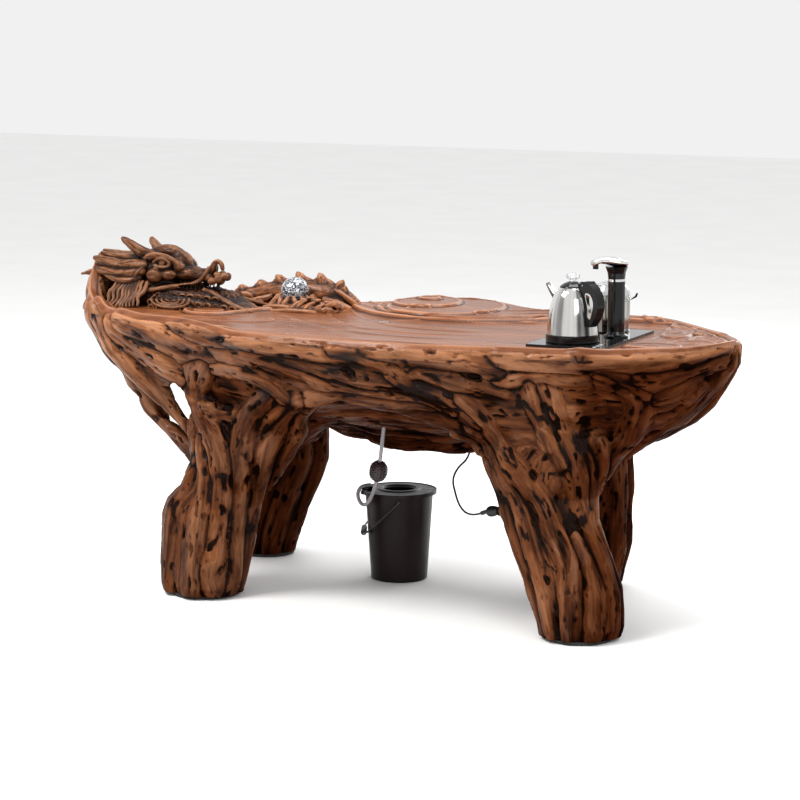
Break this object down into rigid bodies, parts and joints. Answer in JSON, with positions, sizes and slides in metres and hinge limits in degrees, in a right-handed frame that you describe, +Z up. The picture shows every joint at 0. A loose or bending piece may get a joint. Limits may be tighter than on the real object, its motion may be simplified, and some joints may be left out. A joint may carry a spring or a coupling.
{
  "type": "gongfu tea table",
  "caption": "Root-carved gongfu tea table with a dragon at one end, a let-in kettle cooker, and a drain hose running to a waste-water bucket under it.",
  "frame": {"origin": "on the floor, below the centre of the table's bounding box", "axes": "+X along the table towards the cooker end, +Y to the rear, +Z up"},
  "size_m": [1.9037, 0.9256, 0.926],
  "materials": {
    "table_wood": "gloss varnish",
    "root_wood": "gloss varnish over dark patina",
    "dowel_wood": "plain",
    "pad_rubber": "matte",
    "crystal": "polished",
    "drain_metal": "satin",
    "clip_plastic": "matte",
    "hose_clear": "clear flexible",
    "bead_dark": "dark resin",
    "bucket_plastic": "semi-gloss",
    "bucket_lid_plastic": "satin",
    "bail_wire": "plain",
    "grip_plastic": "satin",
    "panel_glass": "polished black",
    "frame_metal": "satin black",
    "heater_ceramic": "coil",
    "board_green": "board",
    "pump_plastic": "moulded",
    "key_print": "pale keys",
    "column_steel": "brushed",
    "chrome_trim": "polished",
    "black_plastic": "gloss",
    "kettle_steel": "polished",
    "knob_glass": "clear",
    "pot_steel": "polished",
    "pot_glass": "clear",
    "cord_black": "matte",
    "pin_brass": "plain"
  },
  "bodies": {
    "root": {"tray_top": "table_wood", "front_apron": "root_wood", "rear_apron": "root_wood", "left_end_apron": "root_wood", "right_end_apron": "root_wood", "leg_front_right": "root_wood", "leg_front_left": "root_wood", "leg_rear_left": "root_wood", "leg_rear_right": "root_wood", "belly_panel": "root_wood", "root_strand": "root_wood", "leg_dowels": "dowel_wood", "top_dowels": "dowel_wood", "foot_pads": "pad_rubber", "dragon_head": "root_wood", "dragon_crest": "root_wood", "ball_cradle": "root_wood", "drain_body": "drain_metal", "pipe_clip": "clip_plastic", "drain_hose": "hose_clear", "hose_bead": "bead_dark", "cooker_panel": "panel_glass", "panel_frame": "frame_metal", "cooker_housing": "frame_metal", "kettle_heater": "heater_ceramic", "pot_heater": "heater_ceramic", "control_board": "board_green", "water_pump": "pump_plastic", "panel_keys": "key_print", "pump_column": "column_steel", "column_ring": "chrome_trim", "cord_grommet": "clip_plastic", "power_cord": "cord_black", "plug_body": "cord_black", "plug_pins": "pin_brass"},
    "ball": {"crystal_ball": "crystal"},
    "strainer": {"drain_strainer": "drain_metal"},
    "bucket": {"bucket_body": "bucket_plastic"},
    "bucket_cover": {"bucket_lid": "bucket_lid_plastic"},
    "bail": {"bucket_bail": "bail_wire", "bail_grip": "grip_plastic"},
    "kettle": {"kettle_base": "black_plastic", "kettle_body": "kettle_steel", "kettle_spout": "kettle_steel", "kettle_handle": "black_plastic", "handle_trim": "chrome_trim", "lid_pin": "chrome_trim"},
    "kettle_cover": {"kettle_lid": "black_plastic", "kettle_knob": "knob_glass"},
    "spout_head": {"spout_neck": "black_plastic", "spout_cap": "chrome_trim", "spout_nozzle": "black_plastic"},
    "pot": {"pot_body": "pot_steel", "pot_lug": "pot_steel"},
    "pot_cover": {"pot_lid": "pot_glass"}
  },
  "joints": [
    {"name": "kettle_lift", "type": "slide", "parent": "root", "child": "kettle", "axis": [0, 0, 1], "range_m": [0, 0.08]},
    {"name": "kettle_lid_hinge", "type": "hinge", "parent": "kettle", "child": "kettle_cover", "pos_m": [0.60289, -0.24751, 0.8673], "axis": [0.454, 0.891, 0], "range_deg": [0, 80]},
    {"name": "spout_swivel", "type": "hinge", "parent": "root", "child": "spout_head", "pos_m": [0.6279, -0.10463, 0.87], "axis": [0, 0, 1], "range_deg": [-40, 40]},
    {"name": "pot_lift", "type": "slide", "parent": "root", "child": "pot", "axis": [0, 0, 1], "range_m": [0, 0.08]},
    {"name": "pot_lid_lift", "type": "slide", "parent": "pot", "child": "pot_cover", "axis": [0, 0, 1], "range_m": [0, 0.05]},
    {"name": "ball_lift", "type": "slide", "parent": "root", "child": "ball", "axis": [0, 0, 1], "range_m": [0, 0.08]},
    {"name": "strainer_lift", "type": "slide", "parent": "root", "child": "strainer", "axis": [0, 0, 1], "range_m": [0, 0.03]},
    {"name": "bucket_pull", "type": "slide", "parent": "root", "child": "bucket", "axis": [0.9135, 0.4067, 0], "range_m": [0, 0.15]},
    {"name": "bucket_lid_lift", "type": "slide", "parent": "bucket", "child": "bucket_cover", "axis": [0, 0, 1], "range_m": [0, 0.04]},
    {"name": "bail_swing", "type": "hinge", "parent": "bucket", "child": "bail", "pos_m": [-0.0871, 0.16637, 0.222], "axis": [-0.4067, 0.9135, 0], "range_deg": [0, 20]}
  ]
}
